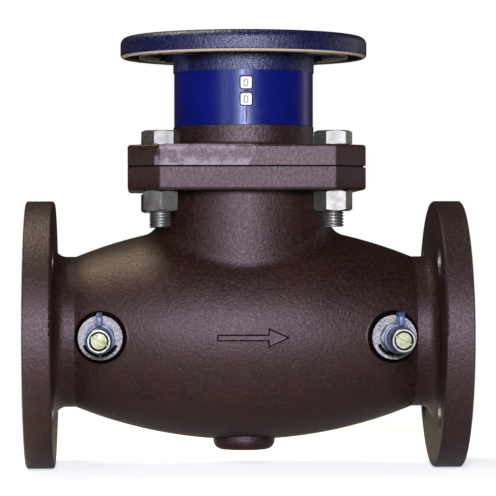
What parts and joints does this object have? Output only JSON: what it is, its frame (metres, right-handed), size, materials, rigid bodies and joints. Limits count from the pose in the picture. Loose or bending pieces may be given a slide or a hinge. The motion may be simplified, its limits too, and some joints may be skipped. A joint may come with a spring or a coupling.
{
  "type": "flanged circuit balancing valve",
  "caption": "Flanged globe-pattern balancing valve with handwheel, digit windows in a drum, bolted square bonnet and pressure test plugs.",
  "frame": {"origin": "centre of the inlet flange's face, on the pipe axis", "axes": "+X along the flow from inlet to outlet, +Z along the stem towards the handwheel; the test plugs stand out towards -Y"},
  "size_m": [0.29, 0.219, 0.2872],
  "materials": {
    "cast_body": "dark brown satin paint over fine sand-cast grain",
    "bronze": "turned bronze",
    "brass": "turned brass",
    "gasket": "dark compressed fibre",
    "zinc_steel": "bright zinc-plated steel",
    "steel": "machined stainless steel",
    "rubber": "moulded black rubber",
    "wheel_blue": "dark blue textured casting",
    "drum_blue": "deep blue smooth moulding",
    "window": "clear plastic",
    "dial_white": "white dial with grey numerals",
    "cap_metal": "nickel-plated brass",
    "strap": "blue-grey flexible strap"
  },
  "bodies": {
    "body": {"valve_body": "cast_body", "seat_ring": "bronze", "bonnet": "cast_body", "bonnet_gasket": "gasket", "bonnet_bolts": "zinc_steel", "bonnet_nuts": "zinc_steel", "guide_bush": "brass", "stem_seals": "rubber", "thrust_washer": "bronze", "guide_pins": "steel", "tenths_ring": "dial_white", "inlet_test_plug": "cap_metal", "inlet_plug_washer": "rubber", "inlet_plug_core": "rubber", "inlet_cap_strap": "strap", "outlet_test_plug": "cap_metal", "outlet_plug_washer": "rubber", "outlet_plug_core": "rubber", "outlet_cap_strap": "strap"},
    "handwheel": {"handwheel": "wheel_blue", "stem": "steel", "stem_clip": "steel", "drive_key": "steel", "wheel_washer": "zinc_steel", "wheel_nut": "zinc_steel", "hub_cap": "drum_blue", "indicator_drum": "drum_blue", "drum_screws": "steel", "window_lenses": "window", "ring_retainer": "drum_blue"},
    "disc": {"disc_carrier": "bronze", "regulating_disc": "bronze", "disc_seal": "rubber", "throttle_plug": "bronze", "plug_screw": "steel"},
    "turns_ring": {"turns_ring": "dial_white"},
    "lift_stop": {"lift_stop_screw": "steel"},
    "inlet_cap": {"inlet_plug_cap": "cap_metal", "inlet_cap_insert": "brass"},
    "outlet_cap": {"outlet_plug_cap": "cap_metal", "outlet_cap_insert": "brass"}
  },
  "joints": [
    {"name": "handwheel_turn", "type": "hinge", "parent": "body", "child": "handwheel", "pos_m": [0.145, 0, 0.19], "axis": [0, 0, 1], "range_deg": [0, 2880]},
    {"name": "disc_lift", "type": "slide", "parent": "body", "child": "disc", "axis": [0, 0, 1], "range_m": [0, 0.024]},
    {"name": "turns_ring_step", "type": "hinge", "parent": "handwheel", "child": "turns_ring", "pos_m": [0.145, 0, 0.1658], "axis": [0, 0, 1], "range_deg": [-288, 0]},
    {"name": "lift_stop_set", "type": "slide", "parent": "handwheel", "child": "lift_stop", "axis": [0, 0, 1], "range_m": [-0.024, 0]},
    {"name": "inlet_cap_off", "type": "slide", "parent": "body", "child": "inlet_cap", "axis": [0, -1, 0], "range_m": [0, 0.03]},
    {"name": "outlet_cap_off", "type": "slide", "parent": "body", "child": "outlet_cap", "axis": [0, -1, 0], "range_m": [0, 0.03]}
  ],
  "couplings": [
    {"joint": "disc_lift", "follows": "handwheel_turn", "m_per_rad": 0.00047746},
    {"joint": "turns_ring_step", "follows": "handwheel_turn", "ratio": -0.1}
  ]
}
